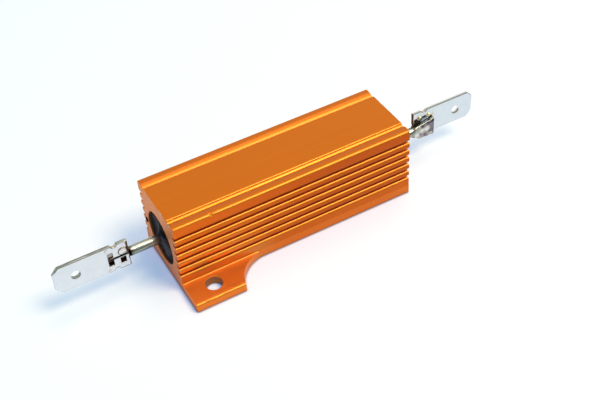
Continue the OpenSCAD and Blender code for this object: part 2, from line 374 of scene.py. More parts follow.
def footReach(x, h):
    # how far the flange is left standing at x: a trace of it, then the cutter's arc, then the foot
    wide, foot, radius = h["width"] / 2, h["footSpan"] / 2, h["scoopRadius"]
    footEnd = h["length"] / 2 - h["footLength"]
    scoopY = wide + radius
    scoopX = footEnd - np.sqrt(radius ** 2 - (scoopY - foot) ** 2)
    arc = scoopY - np.sqrt(np.maximum(0, radius ** 2 - (np.clip(x, scoopX, footEnd) - scoopX) ** 2))
    return np.where(x >= footEnd, foot, np.maximum(arc, wide + h["millTrace"])), scoopX, footEnd


def housingMesh(h):
    # the section carried along X: its flange is cut back to the reach at each x,
    # and its ends draw in on a small arc
    section = housingSection(h)
    normal = loopNormals(section)
    half, small, under = h["length"] / 2, h["endRound"], h["footUnder"]
    ends = half - small * (1 - np.sin(np.radians([0, 30, 60, 90])))
    _, scoopX, footEnd = footReach(0.0, h)
    widest = np.arcsin((footEnd - scoopX) / h["scoopRadius"])
    scoop = scoopX + h["scoopRadius"] * np.sin(np.linspace(0, widest, h["scoopSteps"]))
    middle = np.arange(0, half - 1.5, h["sectionsApart"])
    x = np.concatenate([ends, half - np.array(h["fromEnds"]), scoop, h["atKnocks"], middle])
    x = np.unique(np.round(np.concatenate([x, -x]), 6))[:, None]
    inset = np.clip(np.abs(x) - (half - small), 0, small)
    shrink = small - np.sqrt(np.maximum(0, small ** 2 - inset ** 2))
    _, y, z = np.broadcast_arrays(x, *section.T)
    reach = np.where(y > 0, footReach(x, h)[0], footReach(-x, h)[0])
    # the milled faces keep the flange's rounded lower edge
    milled = reach < h["footSpan"] / 2
    reach = reach - under + np.sqrt(under ** 2 - np.clip(under - z, 0, None) ** 2)
    cut = (z < h["baseHeight"] - h["edgeRound"]) & (np.abs(y) > reach - 1e-9) & milled
    side = np.sign(y)
    y = np.where(cut, side * reach, y) - np.where(cut, side, normal[:, 0]) * shrink
    z = z - np.where(cut, np.where(z < 1e-6, -1, 0), normal[:, 1]) * shrink
    skin = gridOf(x, y, z)
    # the bore, a little wider at its two mouths
    turn = turns(h["boreSteps"])
    boreX = np.array([-half, -half + h["boreRim"], 0, half - h["boreRim"], half])[:, None]
    boreR = h["bore"] / 2 + h["boreRim"] * (np.abs(boreX) == half)
    bore = gridOf(boreX, boreR * np.cos(turn), axisHeight + boreR * np.sin(turn))
    parts = [ringPart(skin), ringPart(bore)]
    for end in (0, -1):
        flat, faces = fillLoops([skin[end, :, 1:], bore[end, :, 1:]])
        parts.append((np.column_stack([np.full(len(flat), skin[end, 0, 0]), flat]), faces))
    return meshFrom("finned_housing", *joinParts(parts))


def holeCutter(h):
    # a drill with a wider collar at both faces of the foot, turned about each hole axis
    radius, rim, thick = h["holeWidth"] / 2, h["holeRim"], h["footThick"]
    past = 0.5  # how far it runs out of the foot
    profile = np.array([(0, -past), (radius + rim + past, -past), (radius, rim), (radius, thick - rim),
                        (radius + rim + past, thick + past), (0, thick + past)])
    turn, r, z = turns(h["holeSteps"]), profile[:, :1], profile[:, 1:]
    drill = gridOf(r * np.cos(turn), r * np.sin(turn), z)
    place = np.array([h["length"] / 2 - h["holeIn"], h["holeApart"] / 2, 0])
    return meshFrom("hole_cutter", *joinParts([ringPart(drill + place), ringPart(drill - place)]))


def knockEdges(mesh, h):
    # each knock pushes the points near it towards the housing's middle; those at the ends bare the metal
    points, bare = readPoints(mesh), np.zeros(len(mesh.vertices))
    outside, high = 7, 15  # only here is it pushed sideways, and down
    for x, y, z, reach, depth in h["knocks"]:
        away = points - (x, y, z)
        near = np.exp(-(away ** 2).sum(1) / (reach * 0.5) ** 2)
        inward = np.array([-np.sign(x) * 0.6, -np.sign(y) * (abs(y) > outside) * 0.6, -0.5 * (z > high)])
        points += near[:, None] * inward * depth
        if abs(x) == h["length"] / 2:
            bare = np.maximum(bare, near)
    mesh.vertices.foreach_set("co", (points * mm).ravel())
    paintPoints(mesh, {"bare": bare})


def anodisedFinish(h):
    material, shader, place = newMaterial("orange_anodised")
    x, y, z = axesOf(scaled(place))
    outX, outY = maths("ABSOLUTE", x), maths("ABSOLUTE", y)
    endways, sideways, upright = [maths("ABSOLUTE", part) for part in axesOf(place.outputs["Normal"])]
    edge = maths("MULTIPLY", sideways, upright)
    footSide = ramp(maths("MULTIPLY", x, y), 0, 5)  # the feet lie on one diagonal
    # lengthwise lines from the die, fine etched grain, broad tone
    lines = noiseAt(place, 3.2, 4, stretch=(0.012, 1, 1))
    grain = noiseAt(place, 9, 2, stretch=(0.5, 1, 1))
    tone = noiseAt(place, 0.09, 2)
    colour = blend((0.635, 0.155, 0.0052), (0.655, 0.162, 0.0060), (lines, 0.3, 0.7))
    colour = blend(colour, (0.61, 0.149, 0.0052), (tone, 0.35, 0.75, 0, 0.35))
    # painted light and shade that change from place to place: sides, top of the feet, crowns of the edge strips
    # the sides: painted shade, lighter towards the left end and again low on the base
    deep = blend((0.545, 0.090, 0.0025), (0.79, 0.148, 0.0060), (x, 8, -25))
    deep = blend((0.625, 0.130, 0.006), deep, (z, 3.3, 3.6))
    # top of the feet painted lighter, more so towards their ends
    footTopLit = blend((0.74, 0.215, 0.028), (0.81, 0.25, 0.037), (lines, 0.35, 0.65))
    footTopLit = blend(footTopLit, (0.82, 0.255, 0.036), (outX, 18, 23))
    # crowns of the edge strips painted darker, against their highlight
    crown = blend((0.52, 0.118, 0.010), (0.60, 0.145, 0.010), (outY, 6.2, 6.6))
    # sawn ends: paler, matt, with the marks of the blade; low down painted warmer, then darker near the floor,
    # as shade
    saw = noiseAt(place, 2.6, 3, stretch=(1, 1, 0.06))
    sawnAndShaded = blend((0.74, 0.247, 0.068), (0.85, 0.295, 0.088), (saw, 0.3, 0.7))
    sawnAndShaded = blend(sawnAndShaded, (0.86, 0.235, 0.048), (z, 3.0, 1.0))
    sawnAndShaded = blend(sawnAndShaded, (0.50, 0.115, 0.018), (z, 1.0, 0.1))
    half, drill, bore = h["length"] / 2, h["holeWidth"] / 2, h["bore"] / 2
    sawnEnd = mask((outX, half - 0.14, half - 0.03), (endways, 0.75, 0.95))
    # places: how far up each fin, and how far from the screw holes and the lead axis
    fins = maths("SUBTRACT", z, h["baseHeight"] + h["grooveWidth"])
    finPlace = maths("FRACT", maths("DIVIDE", fins, finPitch(h)))
    fromDrill = distanceFrom((half - h["holeIn"], h["holeApart"] / 2), outX, outY)
    drilled = mask((fromDrill, drill + 0.11, drill + 0.07), (upright, 0.6, 0.3))
    fromBore = distanceFrom((0, axisHeight), y, z)
    bare = mask(painted(place, "bare"), (noiseAt(place, 4, 3), 0.4, 0.55))
    # each layer is a shade and the limits of its place, in millimetres
    layers = [
        # sides painted a shade deeper, and lighter towards the left end; the insides of the grooves painted
        # paler, against their shade
        (deep, (sideways, 0.75, 0.97)),
        ((0.70, 0.215, 0.046), (z, 13.6, 13.45), (outY, 7.85, 7.55), (outY, 5.8, 6.2)),
        # top of the feet painted lighter, lighter still towards their ends
        (footTopLit, (z, 2.3, 1.9), (outY, 7.9, 8.3)),
        # painted light and shade: the corner between foot and base duller, against the red that each throws on
        # the other, and the fins above it painted paler
        ((0.68, 0.225, 0.041), (outX, 4, 9), (outY, 10.6, 8.4), (outY, 7.8, 7.9), (z, 3.9, 3.5, 0, 0.8),
         footSide),
        ((0.94, 0.265, 0.038), (outX, 6, 15), (outY, 7.6, 7.85, 0.2, 1), (z, 3.7, 3.9), (z, 12, 5, 0, 0.8),
         footSide),
        # painted highlight: rounded edges yellower; the crowns painted darker, against their highlight
        ((0.66, 0.215, 0.024), (edge, 0.25, 0.45)),
        (crown, (outY, 5.05, 5.2), (outY, 7.5, 7.3), (z, 15.2, 15.35, 0, 0.85)),
        # painted shade in the hollow beside the lip, and a painted highlight in yellow on the front strip's
        # crest beside it
        ((0.38, 0.075, 0.004), (outY, 5.07, 5.10), (outY, 5.25, 5.19), (z, 15.2, 15.3)),
        ((0.58, 0.205, 0.014), (outY, 5.25, 5.32), (outY, 5.75, 5.6), (z, 15.2, 15.35), (y, 1, -1)),
        # lower edge of each fin darker, in the shade of its groove
        ((0.42, 0.10, 0.006), (z, 4.2, 4.4), (z, 14.6, 14.4), (finPlace, 0.22, 0.08, 0, 0.9), (outY, 7.5, 7.7)),
        # milled faces of the base and the feet paler; walls of the screw holes darker, painted shade; the bore
        # darker
        ((0.82, 0.215, 0.024), (z, 1.99, 1.93), (upright, 0.5, 0.2), (outY, 8.2, 10, 0.35, 1)),
        ((0.40, 0.15, 0.05), drilled),
        ((0.40, 0.145, 0.045), (fromBore, bore + 0.13, bore + 0.09)),
        (sawnAndShaded, sawnEnd),
        # bare metal where an edge was knocked
        ((0.60, 0.58, 0.50), (bare, 0.25, 0.45)),
    ]
    for shade, *limits in layers:
        colour = blend(colour, shade, *limits)
    matt = maths("MAXIMUM", sawnEnd, drilled)
    rough = maths("MULTIPLY_ADD", matt, 0.15, ramp(lines, 0.3, 0.7, 0.30, 0.35))
    height = maths("MULTIPLY_ADD", lines, 0.6, maths("MULTIPLY", grain, 0.4))
    setShader(shader, colour=colour, metal=0.62, rough=rough, gloss=0.15, normal=bumpFrom(height, 0.003))
    return material


def buildHousing(h):
    piece = addPiece(housingMesh(h), anodisedFinish(h), "housing", crease=h["crease"])
    # the screw holes are cut once, with the even normals off
    cutter = addObject("hole_cutter", holeCutter(h))
    cut = piece.modifiers.new("holes", "BOOLEAN")
    cut.object, cut.operation, cut.solver = cutter, "DIFFERENCE", "EXACT"
    piece.modifiers["evenNormals"].show_viewport = False
    solid = bpy.data.meshes.new_from_object(piece.evaluated_get(bpy.context.evaluated_depsgraph_get()))
    piece.modifiers["evenNormals"].show_viewport = True
    piece.modifiers.remove(cut)
    bpy.data.objects.remove(cutter)
    piece.data = solid
    solid.name = "finned_housing"
    solid.set_sharp_from_angle(angle=np.radians(h["crease"]))
    knockEdges(solid, h)


buildHousing(housing)
print("housing done")


# potting: a cast filling turned about the lead axis, its two faces uneven

potting = {
    "radius": 5.25, "face": 24.5, "leadHole": 1.0, "collarRadius": 2.2, "collarHeight": 0.75,
    "wallClimb": 0.05, "climbWidth": 0.25, "lumps": 0.1, "steps": 120,
    "wellRadius": 4.25, "well": 17.5, "neckRadius": 3.8, "neck": 11.3,
    "drop": (-25, 6.25, 7.0), "dropSize": (0.24, 0.62, 0.58), "dropRows": 14, "dropCols": 24,
}


def pottingMesh(p):
    # a closed profile of (x, radius) turned about the axis; the faces get a meniscus, a collar and lumps
    left, right = -p["face"] - coreShift, p["face"] - coreShift
    hole, wall, collar, well, neck = p["leadHole"], p["radius"], p["collarRadius"], p["well"], p["neck"]
    radii = np.concatenate([np.linspace(hole, collar, 9), np.linspace(collar, wall, 22)[1:]])
    rise = p["collarHeight"] * np.clip((collar - radii) / (collar - hole), 0, 1) ** 1.6
    rise += p["wallClimb"] * np.exp(-(wall - radii) / p["climbWidth"])
    hollow = [(well, hole), (well, p["wellRadius"]), (neck, p["wellRadius"]), (neck, p["neckRadius"])]
    hollow += [(-x, r) for x, r in hollow[::-1]]
    faces = [np.stack([left - rise, radii], 1), np.stack([right + rise, radii], 1)[::-1]]
    x, r = np.concatenate(faces + [hollow]).T[:, :, None]
    turn = turns(p["steps"])
    points = gridOf(x, r * np.cos(turn), r * np.sin(turn))
    flat = points.reshape(-1, 3)
    # lumps fade out at the lead and at the wall
    around = np.hypot(flat[:, 1], flat[:, 2])
    outer = np.abs(flat[:, 0]) > well + 1
    fade = ease(around, hole, hole + 0.4) * ease(wall - around, 0, 0.5) * outer
    lump = softNoise(flat, 2.6, 5) + 0.5 * softNoise(flat, 0.9, 6)
    flat[:, 0] += np.sign(flat[:, 0]) * p["lumps"] * lump * fade
    flat += (coreShift, 0, axisHeight)
    drop = ballGrid(p["dropRows"], p["dropCols"]) * p["dropSize"] + p["drop"]
    return meshFrom("potting_fill", *joinParts([ringPart(points, closed=True), ringPart(drop)]))


def pottingFinish():
    material, shader, place = newMaterial("black_cement")
    broad, fine = noiseAt(place, 0.42, 3), noiseAt(place, 5, 3)
    # painted sheen: greyish violet patches that stop short of the wall
    _, y, z = axesOf(scaled(place))
    radius = distanceFrom((0, axisHeight), y, z)
    colour = blend((0.005, 0.005, 0.007), (0.080, 0.074, 0.105), (broad, 0.43, 0.54), (radius, 4.6, 3.9))
    rough = ramp(fine, 0.3, 0.7, 0.55, 0.7)
    setShader(shader, colour=colour, rough=rough, gloss=0.08, normal=bumpFrom(fine, 0.04, 0.6))
    return material


addPiece(pottingMesh(potting), pottingFinish(), "potting", crease=60)
print("potting done")


# leads: round wire, its end pressed flat for the weld

lead = {
    "start": 17.45, "end": 36.1, "radius": 0.95, "steps": 72,
    "pressFrom": 31.0, "pressTo": 32.1, "fanFrom": 30.6, "fanLow": 32.7,
    "shoulderFrom": 31, "shoulderTo": 31.5, "flatTop": 1.9, "flatLow": 2.15,
    "weldFace": 0.35, "outerFace": -0.65, "endRound": 0.16, "pits": 0.05,
}


def leadTop(x, l):
    # height of the upper side, which fans out slowly
    fan = np.clip((x - l["fanFrom"]) / (l["end"] - l["fanFrom"]), 0, 1)
    return l["radius"] + (l["flatTop"] - l["radius"]) * fan


def leadMesh(name, side, l):
    # a superellipse carried along X, from a circle to a rounded rectangle
    radius, small, count = l["radius"], l["endRound"], l["steps"]
    x = np.concatenate([np.linspace(l["start"], l["pressFrom"], 24)[:-1],
                        np.linspace(l["pressFrom"], l["pressTo"], 36)[:-1],
                        np.linspace(l["pressTo"], l["end"] - small, 28)[:-1],
                        l["end"] - small * (1 - np.sin(np.radians(np.linspace(0, 90, 6))))])[:, None]
    press = ease(x, l["pressFrom"], l["pressTo"])
    front = -radius + (l["outerFace"] + radius) * press
    back = radius + (l["weldFace"] - radius) * ease(x, l["shoulderFrom"], l["shoulderTo"])
    top = leadTop(x, l)
    low = radius + (l["flatLow"] - radius) * ease(x, l["pressFrom"], l["fanLow"])
    shrink = small - np.sqrt(small ** 2 - np.clip(x - (l["end"] - small), 0, small) ** 2)
    power = 2 / (2 + 6 * press)
    across, rise = np.cos(turns(count)), np.sin(turns(count))
    y = (front + back) / 2 + ((back - front) / 2 - shrink) * signedPower(across, power)
    z = (np.where(rise > 0, top, low) - shrink) * signedPower(rise, power)
    points, faces = ringPart(gridOf(x, y, z))
    # the electrode leaves pits in the flat end's outer face
    pressed = ease(points[:, 0], l["pressTo"] - 0.3, l["pressTo"] + 0.4) * (points[:, 1] < 0)
    pressed *= ease(np.repeat(top, count) - points[:, 2], 0.15, 0.45)
    points[:, 1] += l["pits"] * pressed * (softNoise(points, 0.7, 11) + 0.6 * softNoise(points, 0.3, 12) + 0.6)
    # each end is closed by a fan of triangles
    total, ring, after = len(points), np.arange(count), np.roll(np.arange(count), -1)
    lastRing = total - count
    fans = [np.stack([np.full(count, total), after, ring], 1),
            np.stack([np.full(count, total + 1), ring + lastRing, after + lastRing], 1)]
    tips = [(x[0, 0], 0, 0), (x[-1, 0], (front[-1, 0] + back[-1, 0]) / 2, 0)]
    faces = faces.tolist() + np.concatenate(fans).tolist()
    return meshFrom(name, atEnd(np.concatenate([points, tips]) + (0, 0, axisHeight), side), faces)


def leadFinish():
    material, shader, place = newMaterial("tinned_wire")
    streak = noiseAt(place, 2.2, 3, stretch=(0.12, 1, 1))
    fine = noiseAt(place, 6, 3)
    colour = blend((0.24, 0.235, 0.175), (0.38, 0.375, 0.315), (streak, 0.35, 0.65))
    # blue green specks of tarnish
    colour = blend(colour, (0.23, 0.30, 0.29), (noiseAt(place, 1.7, 4), 0.48, 0.6, 0, 0.6))
    # flux brown where the wire leaves the filling
    out = maths("ABSOLUTE", axesOf(scaled(place))[0])
    stain = mask((out, 26.8, 25.4), (fine, 0.32, 0.58, 0.35, 1))
    colour = blend(colour, (0.04, 0.038, 0.036), stain)
    # colours of heat on the flat end, from dark violet over brown to bare silver
    scorch = painted(place, "scorch")
    mottle = ramp(noiseAt(place, 1.1, 4), 0.3, 0.7, -0.32, 0.32)
    hot = colourRamp(maths("ADD", painted(place, "tint"), mottle), [
        (0, (0.035, 0.03, 0.045)), (0.25, (0.14, 0.125, 0.16)), (0.45, (0.25, 0.23, 0.26)),
        (0.6, (0.40, 0.36, 0.33)), (0.8, (0.60, 0.59, 0.58)), (1, (0.82, 0.83, 0.84))])
    colour = blend(colour, hot, scorch)
    # burn, with painted shade at the shoulder and behind the tab
    colour = blend(colour, (0.03, 0.023, 0.018), painted(place, "burnAndShade"), (fine, 0.3, 0.5, 0.75, 1))
    metal = ramp(stain, 0.2, 0.8, 1, 0)
    rough = maths("MULTIPLY_ADD", scorch, 0.14, ramp(fine, 0.3, 0.7, 0.13, 0.21))
    setShader(shader, colour=colour, metal=metal, rough=rough, normal=bumpFrom(fine, 0.004))
    return material


def leadHeat(points, l):
    x, y, z = (points - (0, 0, axisHeight)).T
    press, pressed, shoulder, last = l["pressFrom"], l["pressTo"], l["shoulderFrom"], l["end"]
    along, up = (x - pressed) / (last - pressed), z / l["flatTop"]
    fromTop = z - leadTop(x, l)
    # scorch over the pressed end but for its top edge
    scorch = ease(x, pressed - 0.1, pressed + 0.8)
    scorch *= 1 - 0.6 * ease(fromTop, -0.2, -0.05)
    below = ease(x, press, press + 0.5) * ease(-z, -0.3, 0.3)
    # tint: a silver spot in the middle, dark violet along the top and the end, pale where the fan begins
    tint = 0.48 + 0.5 * np.exp(-((along - 0.58) / 0.24) ** 2 - ((up - 0.02) / 0.13) ** 2)
    tint -= 0.28 * ease(fromTop, -1.0, -0.6) * ease(along, 0.1, 0.3)
    tint -= 0.3 * ease(along, 0.86, 0.97)
    tint += 0.42 * ease(along, 0.26, 0.06) * ease(-up, -0.3, 0.2)
    # black round the shoulder and on the welded side: painted shade in the step and behind the tab, together
    # with burn; less so behind the slot of the tab
    wave = 0.15 * softNoise(points, 0.9, 14)
    collar = ease(x + wave, shoulder - 0.45, shoulder)
    collar *= 0.92 * ease(x, pressed, pressed - 0.4) * ease(y, -0.5, 0.1)
    welded = ease(x, shoulder, l["shoulderTo"])
    welded *= ease(y, l["weldFace"] - 0.25, l["weldFace"] - 0.05)
    slot = ease(x, 34.2, 34.7) * (0.35 + 0.45 * ease(z, 0.6, 1.2))
    welded *= np.clip(1 - slot + 0.25 * softNoise(points, 0.6, 15), 0, 1)
    edge = 0.6 * ease(x, last - 0.14, last - 0.04)
    burnAndShade = np.max([collar, welded, edge], 0)
    return {"scorch": np.maximum(scorch, below), "tint": np.clip(tint, 0, 1), "burnAndShade": np.clip(burnAndShade, 0, 1)}


tinnedWire = leadFinish()
for end, side in bothEnds:
    mesh = leadMesh("lead_wire_" + end, side, lead)
    paintPoints(mesh, leadHeat(fromEnd(mesh, side), lead))
    addPiece(mesh, tinnedWire, "lead_" + end, crease=50)
print("leads done")


# tabs: stamped blades with a slotted head, welded to the flat ends

tab = {
    "start": 31.55, "length": 14.55, "width": 6.2, "thick": 0.8, "rise": 0.9, "weldFace": 0.35,
    "tipCut": 1.25, "tipBevel": 0.7, "tipThick": 0.45, "corner": 0.2, "roll": 0.12,
    "lockWidth": 1.75, "lockIn": 4.15, "lockSteps": 48,
    "notchIn": 2.65, "notchWidth": 1.4, "notchFloor": 0.4, "notchDepth": 0.55,
    "dimpleIn": 4.15, "dimpleRise": 2.55, "dimpleRadius": 0.32, "dimpleHeight": 0.1,
    "slotIn": 3.6, "slotWidth": 1.05, "slotHeight": 1.3, "tongue": 0.55, "tongueRound": 0.17,
    "split": 0.3, "splitMouth": 0.15, "bridge": 0.3, "innerRound": 0.1,
    "pierceIn": 1.25, "pierceDrop": 1.15, "pierceWidth": 1.05, "pierceHeight": 1.4,
    "buttonIn": 1.15, "buttonRise": 1.05, "buttonRadius": 0.9, "buttonHeight": 0.2,
    "edgeStep": 0.4, "headStep": 0.13, "bladeStep": (0.8, 0.7),
}
# inner end of the blade, at its welded face and half its width
tabOrigin = np.array([tab["start"], tab["weldFace"], axisHeight + tab["rise"]])


def tabLoops(t):
    # outline with the notches and the split, then the bracket slot, the pierced hole and the locking hole
    half, tip, cut, r, small = t["width"] / 2, t["length"], t["tipCut"], t["corner"], t["innerRound"]
    mid, wide, floor, deep = t["notchIn"], t["notchWidth"] / 2, t["notchFloor"] / 2, half - t["notchDepth"]
    near, far = t["slotIn"] - t["slotWidth"] / 2, t["slotIn"] + t["slotWidth"] / 2
    inner, outer = t["tongue"] / 2, t["tongue"] / 2 + t["slotHeight"]
    slit, joint = t["split"] / 2, near - t["bridge"]
    rim = [(0, -half, r), (mid - wide, -half, r), (mid - floor, -deep, r), (mid + floor, -deep, r),
           (mid + wide, -half, r), (tip - cut, -half, r), (tip, cut - half, r)]
    split = [(0, slit, t["splitMouth"]), (joint, slit, small)]
    bracket = [(far, -outer, small), (near, -outer, small), (near, -inner, small),
               (far - t["split"], -inner, t["tongueRound"])]
    # each is half an outline; the other half is its mirror image, run backwards
    rim, split, bracket = [part + [(x, -z, s) for x, z, s in part[::-1]] for part in (rim, split, bracket)]
    w, h = t["pierceWidth"] / 2, t["pierceHeight"] / 2
    corners = ((-1, -1), (-1, 1), (1, 1), (1, -1))
    hole = [(t["pierceIn"] + a * w, b * h - t["pierceDrop"], small) for a, b in corners]
    turn, radius = -turns(t["lockSteps"]), t["lockWidth"] / 2
    lock = np.stack([tip - t["lockIn"] + radius * np.cos(turn), radius * np.sin(turn)], 1)
    loops = [roundCorners(part) for part in (rim + split, bracket, hole)] + [lock]
    loops = [fillEdges(loop, t["edgeStep"]) for loop in loops]
    return [loop[np.linalg.norm(loop - np.roll(loop, 1, 0), axis=1) > 1e-5] for loop in loops]


def tabMesh(name, side, t):
    # each outline carries a rim with rolled edges through the thickness,
    # and both faces are filled between the rims
    loops, roll, thick = tabLoops(t), t["roll"], t["thick"]
    turn = np.radians(np.linspace(90, 0, 4))
    into, deep = roll * (1 - np.cos(turn)), roll * (1 - np.sin(turn))
    inset = np.concatenate([into, into[::-1]])[:, None, None]
    depth = np.concatenate([deep, thick - deep[::-1]])[:, None]
    parts, rims = [], []
    for loop in loops:
        rim = loop - loopNormals(loop) * inset
        rims.append(rim[0])
        parts.append(ringPart(gridOf(rim[..., 0], depth, rim[..., 1])))
    # inner points: fine over the head, coarse over the blade, and a line where the tip bevel starts
    bevel = t["length"] - t["tipBevel"]
    head = np.meshgrid(np.arange(0.15, 5.2, t["headStep"]), np.arange(-2.9, 3, t["headStep"]))
    along, across = t["bladeStep"]
    blade = np.meshgrid(np.append(np.arange(5.6, t["length"], along), bevel), np.arange(-2.8, 3, across))
    inner = np.concatenate([np.stack(grid, -1).reshape(-1, 2) for grid in (head, blade)])
    clear = [loop - loopNormals(loop) * (roll + 0.07) for loop in loops]
    flat, faces = fillLoops(rims, [inner[insideLoops(inner, clear)]])
    x, z = flat.T
    # a pressed button beside the split, and a small dimple beside each notch
    slit, radius = t["split"] / 2 + roll, t["buttonRadius"]
    away = np.hypot(x - t["buttonIn"], z - t["buttonRise"])
    raised = t["buttonHeight"] * ease(away, radius, radius * 0.72) * ease(z, slit, slit + 0.16)
    away = np.hypot(x - t["dimpleIn"], np.abs(z) - t["dimpleRise"])
    raised += t["dimpleHeight"] * ease(away, t["dimpleRadius"], t["dimpleRadius"] * 0.4)
    parts += [(gridOf(x, level, z), faces) for level in (0, thick + raised)]
    points, faces = joinParts(parts)
    # the tip is coined thinner from both faces
    thin = np.clip((points[:, 0] - bevel) / t["tipBevel"], 0, 1)
    scale = 1 + (t["tipThick"] / thick - 1) * thin
    points[:, 1] = thick / 2 + (points[:, 1] - thick / 2) * scale
    return meshFrom(name, atEnd(points + tabOrigin, side), faces)


def tabFinish():
    material, shader, place = newMaterial("tinned_blade")
    _, acrossFace, upFace = axesOf(place.outputs["Normal"])
    cloud, fine = noiseAt(place, 0.5, 4), noiseAt(place, 7, 3)
    brush = noiseAt(place, 4, 3, stretch=(0.1, 1, 1))
    polishAndShade, scorch = painted(place, "polishAndShade"), painted(place, "scorch")
    colour = blend((0.71, 0.75, 0.81), (0.77, 0.81, 0.87), (cloud, 0.3, 0.7))
    # the right blade painted greyer, as in shade
    greyerInShade = blend((0.64, 0.70, 0.77), (0.695, 0.755, 0.825), (cloud, 0.3, 0.7))
    colour = blend(colour, greyerInShade, polishAndShade)
    # sheared edges show the darker strip, in streaks along the edge; their rolled upper rims are darker still,
    # a painted dark reflection
    shear = noiseAt(place, 3.4, 3, stretch=(0.12, 1, 1))
    sheared = blend((0.17, 0.185, 0.15), (0.38, 0.395, 0.35), (shear, 0.38, 0.62))
    sheared = blend(sheared, (0.98, 0.98, 0.97), polishAndShade)
    colour = blend(colour, sheared, (maths("ABSOLUTE", acrossFace), 0.5, 0.25))
    colour = blend(colour, (0.115, 0.125, 0.10), painted(place, "rim"), (upFace, 0.1, 0.3))
    # colours of heat, and of painted shade on the head, from bare metal over brown to black
    hot = colourRamp(scorch, [
        (0, (0.72, 0.73, 0.76)), (0.25, (0.60, 0.55, 0.45)), (0.45, (0.30, 0.235, 0.18)),
        (0.6, (0.12, 0.07, 0.042)), (0.75, (0.04, 0.032, 0.036)), (1, (0.012, 0.011, 0.013))])
    colour = blend(colour, hot, (scorch, 0.02, 0.25))
    rough = maths("MULTIPLY_ADD", scorch, 0.12, ramp(cloud, 0.3, 0.7, 0.30, 0.40))
    height = maths("MULTIPLY_ADD", brush, 0.5, maths("MULTIPLY", fine, 0.5))
    setShader(shader, colour=colour, metal=1.0, rough=rough, normal=bumpFrom(height, 0.005))
    return material


def tabHeatAndShade(points, t):
    x, depth, z = (points - tabOrigin).T
    high, thick = np.abs(z), t["thick"]
    blotch = softNoise(points, 0.8, 21)
    # welded face: a burnt arch above the flat end of the lead, and a beige fringe beyond it
    top = t["rise"] + 0.85 + 0.12 * blotch - 0.9 * ease(x, 3.7, 4.5)
    arch = ease(x, -0.1, 0.5) * ease(x, 4.8, 4.2) * ease(z, top + 0.12, top - 0.12)
    fringe = 0.24 * ease(np.abs(x - 4.75), 0.4, 0.1) * ease(high, 2.6, 1.5)
    welded = ease(depth, 0.2, 0.02) * np.maximum(arch, fringe)
    # outer face: dark brown along the inner end; painted shade in a ring round the button, in its lower inside
    # and along the split
    wide = np.where(z > 0, 0.42, 0.2) + 0.08 * blotch
    innerEndBrown = (0.62 + 0.06 * blotch) * ease(x, wide + 0.06, wide - 0.1)
    ring = np.hypot(x - t["buttonIn"], z - t["buttonRise"]) - t["buttonRadius"]
    buttonShadeRing = 0.6 * ease(np.abs(ring + 0.03), 0.17, 0.04) * (0.65 + 0.35 * (x > t["buttonIn"]))
    shade = 0.38 * (ring < 0) * ease(0.35 * (t["buttonIn"] - x) - z + t["buttonRise"], 0.1, 0.5)
    slit = t["split"] / 2 + t["roll"]
    darkening = 0.8 * ease(high, slit + 0.04, slit - 0.08) * (x < t["slotIn"] + 0.2)
    # then a dark lower edge that follows the notch, and painted shade on one side of a ring round each dimple
    fromNotch, floor, half = np.abs(x - t["notchIn"]), t["notchFloor"] / 2, t["notchWidth"] / 2
    rimHeight = t["notchDepth"] * np.clip(1 - (fromNotch - floor) / (half - floor), 0, 1) - t["width"] / 2
    lower = 0.6 * ease(z - rimHeight, 0.28, 0.1) * ease(x, 3.8, 3.3)
    dimple = np.hypot(x - t["dimpleIn"], high - t["dimpleRise"]) - t["dimpleRadius"]
    pressed = 0.36 * ease(np.abs(dimple), 0.14, 0.02) * (x > t["dimpleIn"] - 0.1)
    outer = np.max([innerEndBrown, buttonShadeRing, shade, darkening, lower, pressed], 0)
    outer *= ease(depth, thick - 0.16, thick - 0.04)
    # painted shade on the walls of the openings in the head, and darker on the end face beside the lead
    wall = ease(depth, 0.03, 0.1) * ease(depth, thick - 0.03, thick - 0.1)
    notch = (fromNotch < half - 0.15) & (high > 2.2)
    opening = (x > 0.1) & (x < 4.6) & (high < 2.2)
    wall *= np.where(high < 0.25, 0.95, 0.62) * opening + 0.3 * notch
    end = 0.66 * ease(x, 0.12, 0.03)
    return np.clip(np.max([welded, outer, wall, end], 0), 0, 1)


def tabRim(points, polishAndShade, t):
    # a painted dark reflection along both rims of a dull edge, along the welded one only of a bright edge
    depth, thick = points[:, 1] - t["weldFace"], t["thick"]
    dull = np.maximum(ease(depth, 0.12, 0.08), ease(depth, thick - 0.12, thick - 0.08))
    dull *= (depth > 0.005) & (depth < thick - 0.005)
    bright = ease(depth, 0.5, 0.1) * (depth > 0.005)
    return np.where(polishAndShade > 0, bright, dull)


tinnedBlade = tabFinish()
# the right blade: a bright edge, and a face painted greyer as in shade
edgePolishAndShade = {"left": 0.0, "right": 0.95}
for end, side in bothEnds:
    mesh, polishAndShade = tabMesh("tab_blade_" + end, side, tab), edgePolishAndShade[end]
    points = fromEnd(mesh, side)
    paintPoints(mesh, {"scorch": tabHeatAndShade(points, tab), "rim": tabRim(points, polishAndShade, tab),
                       "polishAndShade": np.full(len(points), polishAndShade)})
    addPiece(mesh, tinnedBlade, "tab_" + end, crease=40)
print("tabs done")


# welds: two bright beads above each flat end, and a dark skin of metal between them and it

welds = {
    "radius": 0.4, "beads": ((1.48, 1.74), (3.75, 1.66)), "rows": 20, "cols": 32, "swell": 0.1,
    "skinFrom": 0.3, "skinTo": 4.7, "skinLow": 0.3, "skinHigh": 1.74, "skinThick": 0.05, "skinDeep": 0.6,
    "skinRows": 60, "skinCols": 48, "skinPower": 0.6, "windowAt": (2.75, 0.8), "windowSize": (1.15, 0.75),
}


